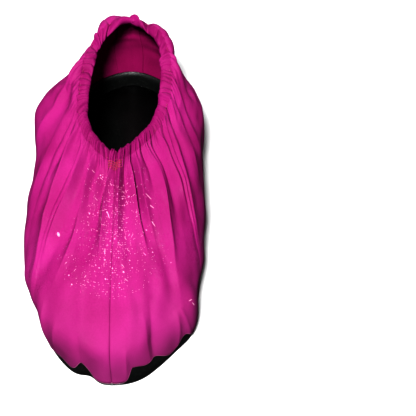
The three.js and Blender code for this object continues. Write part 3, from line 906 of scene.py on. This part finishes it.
def collar():
    """The gathered casing: its outer face goes on from the panels, turns over and comes back."""
    columns = RIBS * RIB_COLUMNS
    place = np.arange(columns) / columns
    foot, rise, out, centre = casing_frame(place)
    half = (CASING_RISE + CASING_THICKNESS - CASING_FLAT) / 2
    middle = CASING_RISE - half
    face = np.linspace(-CASING_LAP, CASING_WIDTH - half, FACE_ROWS)
    over = np.linspace(0, math.pi, OVER_ROWS)[1:-1]
    puffs = [CASING_PUFF * math.sin(math.pi * min(max(h, 0) / CASING_WIDTH, 1)) for h in face]
    section = [(h, half + puff, 1.0) for h, puff in zip(face, puffs)]
    section += [(face[-1] + half * math.sin(a), half * math.cos(a),
                 INSIDE_SHARE + (1 - INSIDE_SHARE) * math.cos(a / 2)) for a in over]
    section += [(h, -half, INSIDE_SHARE) for h in face[::-1]]
    rings = []
    for height, reach, share in section:
        level = max(height, 0) / CASING_WIDTH
        # the ribs lean a little to and fro on the way up
        slant = 0.6 * math.sin(2.6 * level) * np.sin(place * 53 + 1) + 0.5 * level * np.sin(place * 97)
        rib = gather_relief(place, 0 * place, slant * level)
        side = 1 if reach > -half else -1
        lift = RIB_LIFT * rib * level
        rings.append(foot + rise * (height + lift)[:, None]
                     + out * (centre + CLOTH_THICKNESS / 2 + middle + reach + side * share * rib)[:, None])
    points = np.stack(rings)
    sides = len(section)
    n = np.arange(sides * columns).reshape(sides, columns)
    faces = np.concatenate([ring_faces(n[i], n[(i + 1) % sides]) for i in range(sides)])
    uv = np.stack([np.broadcast_to(place * CLOTH_ROUND, (sides, columns)),
                   np.broadcast_to(np.arange(sides)[:, None] * 0.9, (sides, columns))], -1)
    made = piece("collar_gathers", points, [faces], [band_cloth], uv=uv)
    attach(made, "root")
    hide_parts("collar_casing")


collar()


def hem_edge():
    """The turned edge of the cloth along the hem; its colour, paler than the cloth, is a painted highlight.
    """
    path = np.concatenate([c.layer(HEM_DEPTH)[0, :-1] for c in (left, right)])
    points, faces = tube(path, HEM_RADIUS, HEM_SIDES, True)
    made = piece("hem_edge", points, [faces], [hem_thread_painted_highlight])
    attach(made, "root")


hem_edge()


def seam_allowances():
    """Folded edges of the cloth inside both seams."""
    points, faces, first = [], [], 0
    depths = (INNER_DEPTH - SEAM_SINK, INNER_DEPTH + SEAM_THICKNESS)
    rows = np.arange(2, FINE_ROWS - 1)
    for one, other in ((left, right), (right, left)):
        grid = [np.concatenate([other.layer(d)[rows][:, -1 - SEAM_COLUMNS:-1],
                                one.layer(d)[rows][:, :SEAM_COLUMNS]], 1) for d in depths]
        shape = grid[0].shape[:2]
        count = shape[0] * shape[1]
        points += [g.reshape(-1, 3) for g in grid]
        faces += [grid_faces(first, *shape), grid_faces(first + count, *shape, True),
                  ring_faces(border(*shape, first + count), border(*shape, first))]
        first += 2 * count
    made = piece("seam_allowances", np.concatenate(points), faces, [inner_cloth],
                 uv=np.concatenate(points)[:, :2])
    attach(made, "root")


seam_allowances()


def casing_stitches():
    """Stitches that close the casing along its foot."""
    paths = []
    for start in np.arange(0, 1, STITCH_PITCH):
        place = start + np.linspace(0, STITCH_LENGTH, STITCH_POINTS)
        foot, rise, out, centre = casing_frame(place)
        bow = np.sin(np.linspace(0, math.pi, STITCH_POINTS)) * STITCH_BOW
        reach = centre + STITCH_OUT + 0.25 * gather_relief(place, 0 * place) + bow
        paths.append(foot + rise * STITCH_RISE + out * reach[:, None])
    made = threads("casing_stitches", paths, STITCH_RADIUS, seam_thread)
    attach(made, "root")


casing_stitches()


def tack():
    """Bar tack of red thread under the front of the mouth."""
    paths = []
    for row, up in enumerate(np.linspace(TACK_TOP, TACK_BOTTOM, TACK_ROWS)):
        for column in range(TACK_COLUMNS):
            start = TACK_FROM + TACK_PITCH * column + TACK_SHIFT * (row % 3)
            line = []
            for t in np.linspace(0, 1, STITCH_POINTS):
                place = start + STITCH_LENGTH * t
                cloth, at = (left, place) if place >= 0 else (right, place + 1)
                point, out = cloth.sample(at, up - 0.003 * t)
                line.append(point + out * (0.05 + 0.3 * math.sin(math.pi * t)))
            paths.append(line)
    made = threads("tack_stitches", paths, TACK_RADIUS, red_thread)
    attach(made, "root")


tack()


def drops():
    """Beads and short runs of water on the toe and the instep."""
    points, quads, tris, first = [], [], [], 0
    sides = DROP_SIDES

    def dome(middle, out, along, long, wide, high):
        nonlocal first
        across = np.cross(out, along)
        turn = np.arange(sides) / sides * 2 * np.pi
        rings = []
        for share, level in DROP_RINGS:
            rings.append(middle + along * (np.cos(turn) * long * share)[:, None]
                         + across * (np.sin(turn) * wide * share)[:, None] + out * (high * level))
        points.append(np.concatenate([*rings, [middle + out * high, middle - out * high * 0.15]]))
        quads.append(grid_faces(first, 4, sides, wrap=True))
        ring = first + np.arange(sides)
        top = first + 3 * sides + np.arange(sides)
        tris.append(np.stack([top, np.full(sides, first + 4 * sides), np.roll(top, -1)], -1))
        tris.append(np.stack([np.roll(ring, -1), np.full(sides, first + 4 * sides + 1), ring], -1))
        first += 4 * sides + 2

    def put(place, up, long, wide, high, turn):
        cloth, at = (left, place) if place >= 0 else (right, place + 1)
        middle, out = cloth.sample(at, up)
        level = unit(np.cross(out, np.array([0.0, 0.0, 1.0])))
        fall = np.cross(level, out)
        along = level * math.cos(turn) + fall * math.sin(turn)
        dome(middle, out, along, long, wide, high)

    for _ in range(DROP_COUNT):
        place = random.normal(0.0, DROP_SPREAD)
        up = random.uniform(*DROP_UP)
        size = random.uniform(*(SMALL_SIZE if random.random() < SMALL_SHARE else OTHER_SIZE))
        if abs(place) < DROP_REACH:
            put(place, up, size * random.uniform(1, 1.5), size, size * 0.6, random.uniform(0, 3.14))
    for _ in range(RUN_COUNT):
        put(random.uniform(*RUN_ROUND), random.uniform(*RUN_UP), random.uniform(*RUN_LONG),
            RUN_WIDE, RUN_HIGH, random.normal(1.57, 0.3))
    for place, up, long, wide, turn in LARGE_DROPS:
        put(place, up, long, wide, min(wide * 0.8, 0.6), turn)
    faces = [np.concatenate(quads), np.concatenate(tris)]
    made = piece("water_drops", np.concatenate(points), faces, [water_with_painted_glint])
    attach(made, "root")


drops()


# Stage, light and camera, with sizes in metres

FLOOR_REACH = 4
FLOOR_DROP = 0.0002     # below the ground, so that the two don't lie in one plane
WORLD_LIGHT = 0.1
GAMMA = 0.68
EXPOSURE = 0.12
CAMERA_LENS = 87.23     # mm
CAMERA_PLACE = (0.067, -0.510105, 0.617868)
CAMERA_TILT = 40        # degrees from straight down

# Lamps: name, place, target, size and watts
LAMPS = (
    ("key", (-0.2, -1.3, 2.3), (0, 0, 0), (0.5, 0.5), 190),
    ("fill", (0.2, 2.2, 1.2), (0, 0, 0.04), (1.2, 1.2), 26),
)


def stage():
    """Grey floor that neither lights the cover from below nor shows in it."""
    r = FLOOR_REACH
    mesh = bpy.data.meshes.new("floor")
    mesh.from_pydata([(-r, -r, 0), (r, -r, 0), (r, r, 0), (-r, r, 0)], [], [(0, 1, 2, 3)])
    floor = bpy.data.objects.new("floor", mesh)
    bpy.context.scene.collection.objects.link(floor)
    material, _, _, shader = new_material("floor")
    shader.inputs["Base Color"].default_value = (0.55, 0.55, 0.55, 1)
    shader.inputs["Roughness"].default_value = 0.8
    mesh.materials.append(material)
    floor.location.z = -FLOOR_DROP
    floor.visible_diffuse = False
    floor.visible_glossy = False


stage()
world = bpy.data.worlds.new("studio")
world.use_nodes = True
world.node_tree.nodes["Background"].inputs[0].default_value = (1, 1, 1, 1)
world.node_tree.nodes["Background"].inputs[1].default_value = WORLD_LIGHT
bpy.context.scene.world = world
colours = bpy.context.scene.view_settings
colours.view_transform = "Standard"
colours.gamma = GAMMA
colours.exposure = EXPOSURE


def softbox(name, place, target, size, watts):
    """Flat lamp that faces its target."""
    light = bpy.data.lights.new(name, "AREA")
    light.shape = "RECTANGLE"
    light.size, light.size_y = size
    light.energy = watts
    lamp = bpy.data.objects.new(name, light)
    bpy.context.scene.collection.objects.link(lamp)
    lamp.location = place
    aim = np.array(target, float) - np.array(place, float)
    yaw = math.atan2(aim[0], -aim[1]) if abs(aim[0]) + abs(aim[1]) > 1e-6 else 0
    lamp.rotation_euler = (math.atan2(math.hypot(aim[0], aim[1]), -aim[2]), 0, yaw + math.pi)


for lamp in LAMPS:
    softbox(*lamp)

camera = bpy.data.cameras.new("camera")
camera.lens = CAMERA_LENS
camera.sensor_width = 36
view = bpy.data.objects.new("camera", camera)
bpy.context.scene.collection.objects.link(view)
view.location = CAMERA_PLACE
view.rotation_euler = (math.radians(CAMERA_TILT), 0, 0)
bpy.context.scene.camera = view
